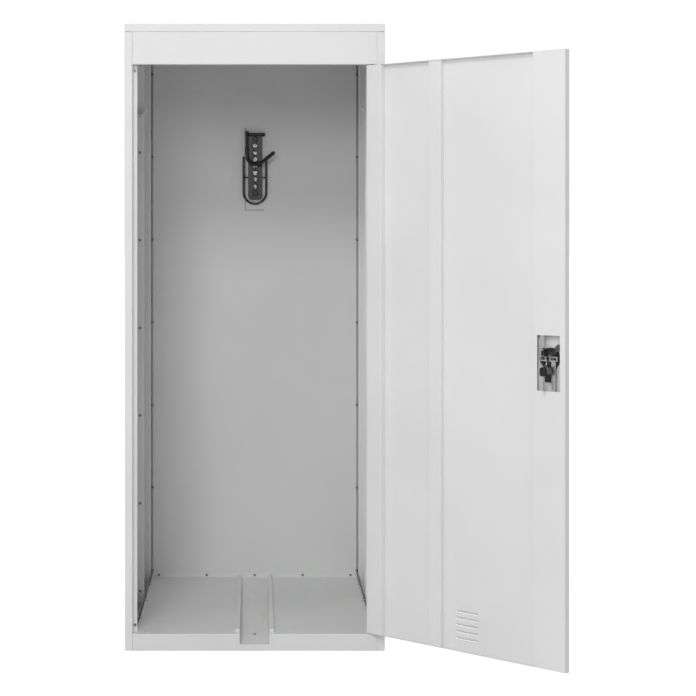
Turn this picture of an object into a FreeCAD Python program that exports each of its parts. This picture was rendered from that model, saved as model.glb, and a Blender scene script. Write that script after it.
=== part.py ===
import FreeCAD, Part
import Sketcher
import math
import os
import re

# A bicycle locker in folded sheet steel. One bicycle hangs by its wheel from a hook on the back
# wall, and its other wheel stands in a sloping channel in the floor.
# Frame: +Z up, +X to the right of a person who faces the open front, +Y towards the back.
# The origin is on the ground under the middle of the carcass.
# The door is modelled open, as it stands at joint value 0.

SIZES = [
    # carcass
    ("width", 830), ("depth", 980), ("height", 2000), ("joint_at", 75),
    ("gauge", 1), ("bend", 1.5), ("touch_gap", 0.3),
    ("cap_height", 24), ("cap_gap", 1.5), ("header_height", 105), ("floor_level", 54),
    ("stile", 25), ("stop_set", 26), ("stop_lip", 14),
    ("joint_flange", 30), ("flange_foot", 45),
    ("post_face", 31), ("rebate", 25), ("closing_flange", 24),
    ("tray_inset", 38), ("tray_depth", 20), ("tray_foot", 30),
    ("floor_inset", 39), ("floor_flange", 17), ("lip_return", 20),
    ("rail_height", 70),
    ("bearer_half", 30), ("bearer_flange", 12),
    # wheel channel
    ("channel_half", 48), ("ridge_width", 14), ("ridge_height", 10),
    ("channel_front", 21), ("slot_gap", 1),
    # fasteners
    ("screw_radius", 2.5), ("hole_gap", 0.3), ("head_radius", 4.5), ("head_height", 2.4),
    ("screw_first", 83), ("screw_pitch", 306), ("floor_pitch", 295), ("back_pitch", 178),
    ("stile_screw_low", 78), ("stile_screw_drop", 18), ("channel_screw_in", 130),
    # door
    ("door_thickness", 21), ("door_gap", 3), ("door_open", 134.6),
    ("pin_side", 14.5), ("pin_set", 6), ("pin_radius", 2.5), ("run_gap", 0.05),
    ("collar_radius", 5), ("collar_height", 6), ("block_height", 10), ("block_width", 24),
    ("block_depth", 18), ("pin_depth", 8.5), ("washer_radius", 6.5),
    ("hinge_member", 62), ("mid_member_from", 254), ("mid_member", 49), ("mid_member_height", 17),
    ("lock_member", 118),
    ("louvre_from", 351), ("louvre_width", 86), ("louvre_low", 90), ("louvre_pitch", 20.5),
    ("louvre_slot", 7), ("louvre_proud", 5),
    # lock
    ("window_set", 101), ("window_width", 82), ("window_low", 871.5), ("window_height", 163),
    ("lock_set", 64), ("lock_height", 966),
    ("cup_radius", 32), ("cup_wall", 2.5), ("cup_flange", 9), ("cup_flange_height", 2.5),
    ("cup_back", 12), ("spindle_radius", 5),
    ("handle_length", 50), ("handle_width", 15), ("handle_height", 11), ("barrel_radius", 6),
    ("cam_radius", 20), ("cam_width", 16), ("cam_thickness", 3), ("cam_pin_radius", 3),
    ("lever_length", 58), ("lever_width", 15), ("lever_rest", 45),
    ("rod_width", 14), ("rod_thickness", 3), ("rod_play", 0.9), ("yoke_width", 28),
    ("yoke_height", 14), ("rod_hole_gap", 1.5), ("guide_width", 24), ("guide_height", 12),
    ("guide_from_end", 240),
    ("case_width", 19), ("case_drop", 25), ("case_height", 20), ("block_half", 10), ("block_tall", 24),
    ("peg_set", 65), ("peg_height", 994), ("peg_radius", 1.6), ("peg_foot_set", 97), ("ring_out", 34),
    ("tag_drop", 20), ("tag_width", 14), ("tag_height", 30), ("tag_thickness", 3), ("tag_hole", 2.6),
    ("ring_radius", 17), ("ring_wire", 0.9), ("key_hole", 3), ("key_head", 10),
    ("key_head_length", 27), ("key_head_thickness", 3), ("key_blade", 42), ("key_blade_width", 7),
    ("key_blade_thickness", 2), ("key_spread", 2.6),
    # bicycle hook
    ("plate_width", 71), ("plate_height", 306), ("plate_low", 1416), ("plate_gauge", 2),
    ("strip_width", 52), ("strip_left", -24), ("strip_depth", 14), ("strip_gauge", 2.5),
    ("strip_low", 1455), ("strip_height", 247), ("strip_pitch", 25), ("strip_first", 24),
    ("strip_corner", 14), ("boss_radius", 11), ("boss_height", 4.5),
    ("pivot_across", -29), ("pivot_out", 28), ("lug_width", 14), ("lug_height", 12),
    ("upper_lug", 1690), ("lower_lug", 1636), ("bar_radius", 5.8), ("bar_length", 58),
    ("arm_radius", 5), ("sleeve_radius", 7), ("arm_bend_top", 1622), ("arm_bend", 36),
    ("arm_rise_radius", 60), ("arm_rise", 36), ("arm_tip", 47), ("arm_swing", 63),
    ("arm_collar", 7.5), ("arm_collar_height", 6),
    ("loop_radius", 4), ("loop_left", -41), ("loop_right", 43), ("loop_low", 1440), ("loop_top", 1612),
    ("loop_out", 12), ("loop_corner", 8), ("tie_height", 1537), ("bolt_radius", 4),
    ("bolt_head", 10.5), ("bolt_head_height", 4.5),
    # side hooks
    ("side_hook_height", 1744), ("side_hook_tall", 50), ("side_hook_reach", 44),
    ("side_hook_tip", 24), ("side_hook_gauge", 3), ("side_hook_depth", 20), ("side_hook_back", 5),
]

# Lengths that follow from the sizes above, each an expression that the sheet works out.
DERIVED = [
    ("half_width", "width / 2"), ("half_depth", "depth / 2"),
    ("cap_low", "height - cap_height"), ("opening_top", "cap_low - header_height"),
    ("opening_half", "half_width - stile"), ("stop_face", "-half_depth + stop_set"),
    ("post_plane", "half_depth - rebate"), ("post_inner", "half_width - post_face"),
    ("tray_half", "half_width - tray_inset"), ("tray_back", "half_depth - gauge"),
    ("back_face", "tray_back - gauge"),
    ("floor_half", "half_width - floor_inset"), ("floor_back", "back_face"),
    ("channel_back", "floor_level - gauge"), ("ridge_top", "floor_level + ridge_height"),
    ("ridge_outer", "channel_half + ridge_width"), ("ridge_start", "stop_face - 2"),
    ("slot_half", "channel_half + gauge + slot_gap"),
    ("rail_outer", "half_width - gauge"), ("rail_end", "post_plane - gauge - bend - touch_gap"),
    ("rail_start", "stop_face + gauge + 1"),
    ("screw_hole", "screw_radius + hole_gap"),
    ("hinge_x", "opening_half - pin_side"), ("hinge_y", "-half_depth + pin_set"),
    ("hinge_edge", "-(pin_side - door_gap)"), ("door_width", "2 * opening_half - 2 * door_gap"),
    ("free_edge", "hinge_edge + door_width"), ("skin_out", "pin_set"),
    ("skin_in", "pin_set - gauge"), ("door_in", "pin_set - door_thickness"),
    ("door_low", "floor_level + door_gap"), ("door_top", "opening_top - door_gap"),
    ("members_low", "door_low + gauge"), ("members_top", "door_top - gauge"),
    ("lock_x", "free_edge - lock_set"),
    ("window_from", "door_width - window_set"), ("cup_end", "skin_out - cup_back"),
    ("cam_front", "cup_end - 0.5"), ("cam_rear", "cam_front - cam_thickness"),
    ("rod_front", "cam_rear - 0.4"), ("rod_rear", "rod_front - rod_thickness"),
    ("arm_y", "back_face - pivot_out"), ("strip_front", "back_face - plate_gauge - strip_depth"),
    ("loop_y", "back_face - loop_out"),
]

doc = FreeCAD.newDocument("bicycle_locker")
sheet = doc.addObject("Spreadsheet::Sheet", "Sizes")


def bound(text):
    """The expression with each name looked up in the sheet."""
    return re.sub(r"[a-z][a-z_]+", lambda word: "Sizes." + word.group(), text)


def fill_sheet():
    for row, (name, value) in enumerate(SIZES, start=1):
        sheet.set("A%d" % row, name)
        sheet.set("B%d" % row, str(value))
        sheet.setAlias("B%d" % row, name)
    for row, (name, text) in enumerate(DERIVED, start=len(SIZES) + 1):
        sheet.set("A%d" % row, name)
        sheet.set("B%d" % row, "=" + text)
        sheet.setAlias("B%d" % row, name)
    doc.recompute()


def size(text):
    """The number that an expression of sheet names comes to."""
    return float(sheet.evalExpression(text))


PLANES = {"z": "XY_Plane", "y": "XZ_Plane", "x": "YZ_Plane"}
nodes = []


def new_body(label):
    body = doc.addObject("PartDesign::Body", label)
    body.Label = label
    nodes.append(body)
    return body


def new_sketch(body, along, start):
    """A sketch across the axis named by along, at the coordinate start on it."""
    sketch = body.newObject("Sketcher::SketchObject", body.Label + "_sketch")
    plane = next(f for f in body.Origin.OriginFeatures if f.Role == PLANES[along])
    sketch.AttachmentSupport = [(plane, "")]
    sketch.MapMode = "FlatFace"
    sign = "-1" if along == "y" else "1"
    sketch.setExpression("AttachmentOffset.Base.z", sign + " * (" + bound(start) + ")")
    return sketch


def pin_point(sketch, geometry, end, spot):
    """Dimension one sketch point from the origin, bound to the sheet."""
    for kind, text in zip(("DistanceX", "DistanceY"), spot):
        number = sketch.addConstraint(
            Sketcher.Constraint(kind, -1, 1, geometry, end, size(text))
        )
        sketch.setExpression("Constraints[%d]" % number, bound(text))


def draw_outline(sketch, outline):
    """Close a polygon through points given as expressions."""
    first = sketch.GeometryCount
    count = len(outline)
    spots = [FreeCAD.Vector(size(x), size(y), 0) for x, y in outline]
    for i in range(count):
        sketch.addGeometry(Part.LineSegment(spots[i], spots[(i + 1) % count]))
    for i in range(count):
        nxt = first + (i + 1) % count
        sketch.addConstraint(Sketcher.Constraint("Coincident", first + i, 2, nxt, 1))
    for i, spot in enumerate(outline):
        pin_point(sketch, first + i, 1, spot)


def draw_circles(sketch, centres, radius):
    for spot in centres:
        middle = FreeCAD.Vector(size(spot[0]), size(spot[1]), 0)
        circle = Part.Circle(middle, FreeCAD.Vector(0, 0, 1), size(radius))
        index = sketch.addGeometry(circle)
        pin_point(sketch, index, 3, spot)
        number = sketch.addConstraint(Sketcher.Constraint("Radius", index, size(radius)))
        sketch.setExpression("Constraints[%d]" % number, bound(radius))


def solid_step(body, kind, along, start, length, outlines=(), circles=(), radius="screw_hole"):
    """One pad or pocket that runs from start towards the positive axis."""
    sketch = new_sketch(body, along, start)
    for outline in outlines:
        draw_outline(sketch, outline)
    draw_circles(sketch, circles, radius)
    before = body.Shape.Volume if kind == "Pocket" else 0
    step = body.newObject("PartDesign::" + kind, body.Label + "_" + kind.lower())
    step.Profile = sketch
    step.setExpression("Length", bound(length))
    step.Reversed = (along == "y") == (kind == "Pad")
    doc.recompute()
    if kind == "Pocket" and before - body.Shape.Volume < 0.1:
        raise RuntimeError("a pocket cut nothing in " + body.Label)
    return step


def pad(body, along, start, length, outlines=(), circles=(), radius="screw_hole"):
    return solid_step(body, "Pad", along, start, length, outlines, circles, radius)


def pocket(body, along, start, length, outlines=(), circles=(), radius="screw_hole"):
    return solid_step(body, "Pocket", along, start, length, outlines, circles, radius)


def rectangle(x_low, x_high, y_low, y_high):
    return [(x_low, y_low), (x_high, y_low), (x_high, y_high), (x_low, y_high)]


def heading(path, i):
    """Unit steps of the straight run that starts at point i of a square-cornered path."""
    run = [size(path[i + 1][k]) - size(path[i][k]) for k in (0, 1)]
    return [0 if abs(part) < 1e-6 else math.copysign(1, part) for part in run]


def round_bends(body, along, corners, radius):
    """Fillet the edges that run along the fold at the given corners."""
    axis = "xyz".index(along)
    across = [k for k in (0, 1, 2) if k != axis]
    names = []
    for number, edge in enumerate(body.Shape.Edges, start=1):
        ends = [vertex.Point for vertex in edge.Vertexes]
        if len(ends) != 2 or (ends[1] - ends[0]).Length < 3:
            continue
        if any(abs(ends[0][k] - ends[1][k]) > 1e-6 for k in across):
            continue
        for corner in corners:
            if all(abs(ends[0][k] - corner[n]) < 1e-4 for n, k in enumerate(across)):
                names.append("Edge%d" % number)
    base = body.Tip
    rounded = body.newObject("PartDesign::Fillet", body.Label + "_bend")
    rounded.Base = (base, names)
    rounded.setExpression("Radius", bound(radius))
    doc.recompute()


def folded(label, along, path, side, start, length, body=None):
    """A folded sheet: the path is one face of it, and side is 1 for metal on the left of it."""
    body = body or new_body(label)
    turns = [heading(path, i) for i in range(len(path) - 1)]
    far = []
    for i, (x, y) in enumerate(path):
        near = [turns[k] for k in (i - 1, i) if 0 <= k < len(turns)]
        step_x = -side * sum(turn[1] for turn in near)
        step_y = side * sum(turn[0] for turn in near)
        far.append(("%s + %g * gauge" % (x, step_x), "%s + %g * gauge" % (y, step_y)))
    pad(body, along, start, length, [path + far[::-1]])
    outer, inner = [], []
    for i in range(1, len(path) - 1):
        bend = turns[i - 1][0] * turns[i][1] - turns[i - 1][1] * turns[i][0]
        path_is_outer = bend * side > 0
        outer.append((path if path_is_outer else far)[i])
        inner.append((far if path_is_outer else path)[i])
    for corners, radius in ((outer, "bend + gauge"), (inner, "bend")):
        spots = [(size(x), size(y)) for x, y in corners]
        round_bends(body, along, spots, radius)
    return body


def place_on_door(piece):
    """Stand a piece of the door, drawn from the hinge pin, where the open door has it."""
    spot = FreeCAD.Vector(size("hinge_x"), size("hinge_y"), 0)
    turn = FreeCAD.Rotation(FreeCAD.Vector(0, 0, 1), 180 + size("door_open"))
    piece.Placement = FreeCAD.Placement(spot, turn).multiply(piece.Placement)


def feature(label, shape):
    """A piece whose shape is set directly, from sizes read in the sheet."""
    piece = doc.addObject("Part::Feature", label)
    piece.Label = label
    piece.Shape = shape
    nodes.append(piece)
    return piece


def cylinder(radius, start, end):
    """A round bar between two points."""
    run = end - start
    return Part.makeCylinder(radius, run.Length, start, run)


def vec(x, y, z):
    """A point whose coordinates are expressions or numbers."""
    return FreeCAD.Vector(*(size(part) if isinstance(part, str) else part for part in (x, y, z)))


def domed_head(seat, out):
    """A screw head that stands out of its seat, with a rounded edge."""
    radius, tall = size("head_radius"), size("head_height")
    head = Part.makeCylinder(radius, tall, seat, out)
    rim = [edge for edge in head.Edges if (edge.CenterOfMass - seat).dot(out) > 0.9 * tall]
    return head.makeFillet(0.45 * tall, [edge for edge in rim if len(edge.Vertexes) == 1])


def screws(label, seats, out, through, sleeve=0.0, sleeve_radius="head_radius"):
    """Screws whose heads stand out of their seats: a shank through the sheets, then a nut."""
    shapes = []
    for seat in seats:
        back = seat - out * through
        screw = domed_head(seat, out).fuse(cylinder(size("screw_radius"), seat, back))
        if sleeve:
            screw = screw.fuse(cylinder(size(sleeve_radius) - 0.5, back, back - out * sleeve))
        shapes.append(screw.removeSplitter())
    return shapes


X, Y, Z = FreeCAD.Vector(1, 0, 0), FreeCAD.Vector(0, 1, 0), FreeCAD.Vector(0, 0, 1)
SIDES = (("left", -1), ("right", 1))


def row_heights(text="screw_first", pitch="screw_pitch", count=7):
    return ["%s + %d * %s" % (text, i, pitch) for i in range(count)]


def side_sheets():
    """Each side is two sheets, joined by bolted flanges half-way back."""
    for name, sign in SIDES:
        outer = "%d * half_width" % sign
        inner = "%d * opening_half" % sign
        front_path = [
            ("%d * (opening_half - stop_lip)" % sign, "stop_face"),
            (inner, "stop_face"),
            (inner, "-half_depth"),
            (outer, "-half_depth"),
            (outer, "joint_at"),
            ("%d * (half_width - joint_flange)" % sign, "joint_at"),
        ]
        front = folded("side_sheet_front_" + name, "z", front_path, sign, "0", "cap_low - cap_gap")
        cut_flange_foot(front, sign, "joint_at - 3", "joint_at")
        joint_x = "%d * (half_width - joint_flange / 2)" % sign
        spots = [(joint_x, height) for height in row_heights()]
        pocket(front, "y", "joint_at - 3", "3", circles=spots)
        lip_x = "%d * (opening_half - stop_lip / 2)" % sign
        lip_spots = [(lip_x, "stile_screw_low"), (lip_x, "opening_top - stile_screw_drop")]
        pocket(front, "y", "stop_face - gauge", "3 * gauge", circles=lip_spots)
        post = "%d * post_inner" % sign
        rear_path = [
            ("%d * (half_width - joint_flange)" % sign, "joint_at"),
            (outer, "joint_at"),
            (outer, "post_plane"),
            (post, "post_plane"),
            (post, "half_depth"),
            ("%d * (post_inner - closing_flange)" % sign, "half_depth"),
        ]
        rear = folded("side_sheet_rear_" + name, "z", rear_path, sign, "0", "cap_low")
        cut_flange_foot(rear, sign, "joint_at", "joint_at + 3")
        pocket(rear, "y", "joint_at", "3", circles=spots)


def cut_flange_foot(body, sign, low_y, high_y):
    """End a joint flange above the ground, and step its edge clear of the base rail."""
    inner = "%d * (half_width - joint_flange - 1)" % sign
    foot = rectangle(inner, "%d * (half_width - gauge)" % sign, low_y, high_y)
    pocket(body, "z", "0", "flange_foot", [foot])
    step = rectangle(inner, "%d * (half_width - joint_flange + 3)" % sign, low_y, high_y)
    pocket(body, "z", "0", "rail_height + 2", [step])


def back_panel():
    """A shallow tray that stands in the rebate of the rear side sheets."""
    body = new_body("back_panel")
    outline = rectangle("-tray_half", "tray_half", "tray_foot", "cap_low - 2 * gauge")
    pad(body, "y", "tray_back - tray_depth", "tray_depth", [outline])
    hollow = rectangle("-tray_half + gauge", "tray_half - gauge",
                       "tray_foot + gauge", "cap_low - 3 * gauge")
    pocket(body, "y", "tray_back - tray_depth", "tray_depth - gauge", [hollow])
    spots = [("tray_back - tray_depth / 2", height) for height in row_heights()]
    pocket(body, "x", "-tray_half - gauge", "2 * tray_half + 2 * gauge", circles=spots)
    pocket(body, "y", "back_face - gauge", "3 * gauge", circles=floor_back_spots())
    pocket(body, "y", "back_face - gauge", "3 * gauge", circles=hook_bolt_spots(),
           radius="bolt_radius + hole_gap")


def floor_back_spots():
    """Where screws hold the floor and the wheel channel to the back panel."""
    height = "floor_level + floor_flange / 2"
    return [("%d * back_pitch" % i, height) for i in (-2, -1, 0, 1, 2)]


def floor_pan():
    """The floor, its front plinth and its upturned flanges, cut through for the wheel channel."""
    plinth_path = [
        ("-half_depth + lip_return", "0"),
        ("-half_depth", "0"),
        ("-half_depth", "floor_level"),
        ("stop_face - bend - touch_gap", "floor_level"),
    ]
    body = folded("floor_pan", "x", plinth_path, -1, "-opening_half", "2 * opening_half")
    sheet_outline = rectangle("-floor_half", "floor_half", "stop_face - 2 * bend", "floor_back")
    pad(body, "z", "floor_level - gauge", "gauge", [sheet_outline])
    flange_from = "stop_face + gauge + 1"
    flanges = [
        rectangle("-floor_half", "-floor_half + gauge", flange_from, "floor_back"),
        rectangle("floor_half - gauge", "floor_half", flange_from, "floor_back"),
        rectangle("-floor_half + gauge", "floor_half - gauge", "floor_back - gauge", "floor_back"),
    ]
    for outline in flanges:
        pad(body, "z", "floor_level - gauge", "floor_flange + gauge", [outline])
    slot = rectangle("-slot_half", "slot_half", "-half_depth - 1", "floor_back - gauge")
    pocket(body, "z", "channel_front - 2 * gauge", "height", [slot])
    side_spots = [("%d * floor_pitch + floor_pitch / 22" % i, "floor_level + floor_flange / 2")
                  for i in (-1, 0, 1)]
    pocket(body, "x", "-half_width", "width", circles=side_spots)
    pocket(body, "y", "floor_back - 3", "6", circles=floor_back_spots())
    pocket(body, "z", "floor_level - 3", "6", circles=[("hinge_x", "hinge_y")],
           radius="pin_radius + 2 * hole_gap")
    pocket(body, "z", "floor_level - 3", "6", [rod_hole(lower_rod_x())])


def below_channel():
    """The outline of everything under the sloping floor of the channel."""
    return [
        ("-half_depth - 1", "-10"),
        ("floor_back + 1", "-10"),
        ("floor_back + 1", "channel_back - gauge"),
        ("floor_back - gauge", "channel_back - gauge"),
        ("-half_depth", "channel_front - gauge"),
        ("-half_depth - 1", "channel_front - gauge"),
    ]


def wheel_channel():
    """The channel's floor falls towards the front, so that a wheel rolls in over the lip."""
    body = new_body("wheel_channel")
    pad(body, "x", "-channel_half", "2 * channel_half", [[
        ("-half_depth", "channel_front - gauge"),
        ("floor_back - gauge", "channel_back - gauge"),
        ("floor_back - gauge", "channel_back"),
        ("-half_depth", "channel_front"),
    ]])
    pocket(body, "z", "-5", "floor_level + 5", circles=[("0", "-half_depth + channel_screw_in")])
    upstand = rectangle("-channel_half", "channel_half", "floor_back - 2 * gauge",
                        "floor_back - gauge")
    pad(body, "z", "channel_back - gauge", "floor_flange + 2 * gauge", [upstand])
    pocket(body, "y", "floor_back - 4", "6", circles=[("0", "floor_level + floor_flange / 2")])


def channel_rail(name, sign):
    """One side wall of the channel, with the raised ridge folded from its top edge."""
    body = new_body("channel_rail_" + name)
    wall = rectangle("%d * channel_half" % sign, "%d * (channel_half + gauge)" % sign,
                     "channel_front - gauge", "floor_level")
    ridge = [
        ("%d * ridge_outer" % sign, "floor_level"),
        ("%d * ridge_outer" % sign, "ridge_top"),
        ("%d * channel_half" % sign, "ridge_top"),
        ("%d * channel_half" % sign, "channel_front - gauge"),
        ("%d * (channel_half + gauge)" % sign, "channel_front - gauge"),
        ("%d * (channel_half + gauge)" % sign, "ridge_top - gauge"),
        ("%d * (ridge_outer - gauge)" % sign, "ridge_top - gauge"),
        ("%d * (ridge_outer - gauge)" % sign, "floor_level"),
    ]
    pad(body, "y", "-half_depth", "ridge_start + half_depth + gauge", [wall])
    pad(body, "y", "ridge_start", "floor_back - gauge - ridge_start", [ridge])
    pocket(body, "x", "-half_width", "width", [below_channel()])
    end = rectangle("%d * (channel_half + gauge / 2)" % sign, "%d * (ridge_outer - gauge / 2)" % sign,
                    "floor_level", "ridge_top - gauge / 2")
    pad(body, "y", "ridge_start", "gauge", [end])


def floor_bearer():
    """The bearer stands on the ground and carries the floor and the wheel channel."""
    path = [
        ("-bearer_half - bearer_flange", "floor_level - 2 * gauge"),
        ("-bearer_half", "floor_level - 2 * gauge"),
        ("-bearer_half", "0"),
        ("bearer_half", "0"),
        ("bearer_half", "floor_level - 2 * gauge"),
        ("bearer_half + bearer_flange", "floor_level - 2 * gauge"),
    ]
    body = folded("floor_bearer", "x", path, 1, "-post_inner + gauge", "2 * post_inner - 2 * gauge")
    fall = "(channel_back - channel_front) * (half_depth - bearer_half - bearer_flange) / depth"
    under = "channel_front - gauge - touch_gap + " + fall
    notch = rectangle("-slot_half", "slot_half", under, "height")
    pocket(body, "y", "-half_depth", "depth", [notch])


def base_rails():
    """A U-section along the foot of each side, between the side sheet and the floor."""
    for name, sign in SIDES:
        path = [
            ("%d * rail_outer" % sign, "0"),
            ("%d * post_inner" % sign, "0"),
            ("%d * post_inner" % sign, "rail_height"),
        ]
        folded("base_rail_" + name, "y", path, -sign, "rail_start", "rail_end - rail_start")


def header_panel():
    path = [
        ("stop_face - bend - touch_gap", "opening_top"),
        ("-half_depth", "opening_top"),
        ("-half_depth", "cap_low"),
        ("stop_face - bend - touch_gap", "cap_low"),
    ]
    body = folded("header_panel", "x", path, -1, "-opening_half", "2 * opening_half")
    pocket(body, "z", "opening_top - 3", "6", circles=[("hinge_x", "hinge_y")],
           radius="pin_radius + 2 * hole_gap")
    pocket(body, "z", "opening_top - 3", "6", [rod_hole(upper_rod_x())])


def top_panel():
    body = new_body("top_panel")
    outline = rectangle("-half_width", "half_width", "-half_depth", "half_depth")
    pad(body, "z", "cap_low", "cap_height", [outline])
    corners = [(x * size("half_width"), y * size("half_depth")) for x in (-1, 1) for y in (-1, 1)]
    round_bends(body, "z", corners, "bend + gauge")
    hollow = rectangle("-half_width + gauge", "half_width - gauge",
                       "-half_depth + gauge", "half_depth - gauge")
    pocket(body, "z", "cap_low", "cap_height - gauge", [hollow])


def carcass_fasteners():
    gauge = size("gauge")
    heights = row_heights()
    for name, sign in SIDES:
        joint_x = sign * (size("half_width") - size("joint_flange") / 2)
        seats = [vec(joint_x, "joint_at - gauge", text) for text in heights]
        bolts = screws("", seats, -Y, 2 * gauge, 3)
        feature("joint_bolts_" + name, Part.makeCompound(bolts))
        tray_x = sign * (size("tray_half") - gauge)
        seats = [vec(tray_x, "tray_back - tray_depth / 2", text) for text in row_heights()]
        gap = size("post_inner - gauge - tray_half")
        feature("back_screws_" + name,
                Part.makeCompound(screws("", seats, -sign * X, gauge, gap)))
        floor_x = sign * (size("floor_half") - gauge)
        seats = [vec(floor_x, "%d * floor_pitch + floor_pitch / 22" % i,
                     "floor_level + floor_flange / 2") for i in (-1, 0, 1)]
        gap = size("post_inner - floor_half")
        feature("floor_screws_" + name,
                Part.makeCompound(screws("", seats, -sign * X, gauge, gap)))
    spots = [spot for spot in floor_back_spots() if size(spot[0])]
    seats = [vec(x, "floor_back - gauge", height) for x, height in spots]
    feature("floor_back_screws", Part.makeCompound(screws("", seats, -Y, 2 * gauge)))
    seat = vec(0, "floor_back - 2 * gauge", "floor_level + floor_flange / 2")
    fall = "(channel_back - channel_front) * channel_screw_in / (floor_back - gauge + half_depth)"
    low_seat = vec(0, "-half_depth + channel_screw_in", "channel_front + gauge / 2 + " + fall)
    feature("channel_screws", Part.makeCompound(
        screws("", [seat], -Y, 3 * gauge) + screws("", [low_seat], Z, 2 * gauge, 3)))
    seats = []
    for _, sign in SIDES:
        for height in ("stile_screw_low", "opening_top - stile_screw_drop"):
            seats.append(vec(sign * size("opening_half - stop_lip / 2"), "stop_face", height))
    feature("stile_screws", Part.makeCompound(screws("", seats, -Y, gauge, 3)))


def hinge_blocks():
    """Bored blocks on the header and under the floor, which the door's pins turn in."""
    spots = (("upper_hinge_block", "opening_top + gauge"),
             ("lower_hinge_block", "floor_level - gauge - block_height"))
    for label, low in spots:
        body = new_body(label)
        outline = rectangle("hinge_x - block_width / 2", "hinge_x + block_width / 2 - 1",
                            "-half_depth + bend + gauge", "-half_depth + bend + gauge + block_depth")
        pad(body, "z", low, "block_height", [outline])
        pocket(body, "z", low, "block_height", circles=[("hinge_x", "hinge_y")],
               radius="pin_radius + run_gap")
    washer = new_body("lower_hinge_washer")
    pad(washer, "z", "floor_level", "door_gap - touch_gap", circles=[("hinge_x", "hinge_y")],
        radius="washer_radius - 1.5")
    pocket(washer, "z", "floor_level", "door_gap", circles=[("hinge_x", "hinge_y")],
           radius="pin_radius + run_gap")


def upper_rod_x():
    return "lock_x - cam_radius"


def lower_rod_x():
    return "lock_x + cam_radius"


def rod_hole(across):
    """The hole in the header or the floor that a rod of the closed door shoots into."""
    x = "hinge_x - (" + across + ")"
    return rectangle(x + " - rod_width / 2 - rod_hole_gap", x + " + rod_width / 2 + rod_hole_gap",
                     "hinge_y - rod_front - rod_hole_gap", "hinge_y - rod_rear + rod_hole_gap")


def door_skin():
    """The door's outer pan, with flanges all round and a louvred vent near its foot."""
    path = [
        ("hinge_edge", "door_in"),
        ("hinge_edge", "skin_out"),
        ("free_edge", "skin_out"),
        ("free_edge", "door_in"),
    ]
    body = folded("door_skin", "z", path, -1, "door_low", "door_top - door_low")
    for low in ("door_low", "door_top - gauge"):
        ends = rectangle("hinge_edge + gauge / 2", "free_edge - gauge / 2", "door_in",
                         "skin_out - gauge / 2")
        pad(body, "z", low, "gauge", [ends])
        pocket(body, "z", low + " - 1", "gauge + 2", circles=[("0", "0")],
               radius="pin_radius + run_gap")
    for low, across in (("door_low", lower_rod_x()), ("door_top - gauge", upper_rod_x())):
        hole = rectangle(across + " - rod_width / 2 - rod_play", across + " + rod_width / 2 + rod_play",
                         "rod_rear - rod_play", "rod_front + rod_play")
        pocket(body, "z", low + " - 1", "gauge + 2", [hole])
    hoods, slots = [], []
    for i in range(5):
        low = "louvre_low + %d * louvre_pitch" % i
        slots.append(rectangle("hinge_edge + louvre_from", "hinge_edge + louvre_from + louvre_width",
                               low, low + " + louvre_slot"))
        hoods.append([
            ("skin_out + louvre_proud", low),
            ("skin_out + louvre_proud", low + " + gauge"),
            ("skin_out - gauge / 2", low + " + louvre_slot + 2 * gauge"),
            ("skin_out - gauge / 2", low + " + louvre_slot"),
        ])
    pocket(body, "y", "skin_in - 1", "gauge + 2", slots)
    for hood in hoods:
        pad(body, "x", "hinge_edge + louvre_from - gauge", "louvre_width + 2 * gauge", [hood])
    pocket(body, "y", "skin_in - 1", "gauge + 2", circles=[("lock_x", "lock_height")],
           radius="cup_radius + touch_gap")
    place_on_door(body)


def door_member(label, low_x, high_x, rise, low_end="skin_in", high_end="skin_in"):
    """A U-section on the inside of the skin, with each leg as long as its end says."""
    path = [
        (low_x, low_end),
        (low_x, "skin_in - " + rise),
        (high_x, "skin_in - " + rise),
        (high_x, high_end),
    ]
    return folded(label, "z", path, 1, "members_low", "members_top - members_low")


def door_members():
    full = "(door_thickness - gauge)"
    hinge_side = door_member("hinge_side_member", "hinge_edge + gauge",
                             "hinge_edge + hinge_member", full, low_end="skin_in - bend")
    middle = door_member("middle_member", "hinge_edge + mid_member_from",
                         "hinge_edge + mid_member_from + mid_member", "mid_member_height")
    lock_side = door_member("lock_side_member", "free_edge - lock_member",
                            "free_edge - gauge", full, high_end="skin_in - bend")
    window = rectangle("hinge_edge + window_from", "hinge_edge + window_from + window_width",
                       "window_low", "window_low + window_height")
    pocket(lock_side, "y", "door_in - 1", "bend + 2 * gauge", [window])
    for body in (hinge_side, middle, lock_side):
        place_on_door(body)


def hinge_pins():
    """Headed pins that stand out of the door's ends into the hinge blocks."""
    ends = (("lower_hinge_pin", "door_low + gauge", -1), ("upper_hinge_pin", "door_top - gauge", 1))
    for label, seat_text, sign in ends:
        seat = vec(0, 0, seat_text)
        reach = size("gauge + door_gap + gauge + pin_depth")
        collar = cylinder(size("collar_radius - 0.5"), seat, seat - sign * Z * size("collar_height"))
        shank = cylinder(size("pin_radius"), seat, seat + sign * Z * reach)
        tip = [edge for edge in shank.Edges if abs(edge.CenterOfMass.z - seat.z) > 0.9 * reach]
        shank = shank.makeChamfer(0.6, [edge for edge in tip if len(edge.Vertexes) == 1])
        place_on_door(feature(label, collar.fuse(shank).removeSplitter()))


def lock_cup():
    """The recessed cup in the skin, which the handle turns in."""
    body = new_body("lock_cup")
    centre = [("lock_x", "lock_height")]
    pad(body, "y", "cup_end", "cup_back", circles=centre, radius="cup_radius")
    pad(body, "y", "skin_out", "cup_flange_height", circles=centre, radius="cup_radius + cup_flange")
    pocket(body, "y", "cup_end + cup_wall", "cup_back + cup_flange_height", circles=centre,
           radius="cup_radius - cup_wall")
    pocket(body, "y", "cup_end - 1", "cup_back", circles=centre, radius="spindle_radius + run_gap")
    place_on_door(body)


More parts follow.
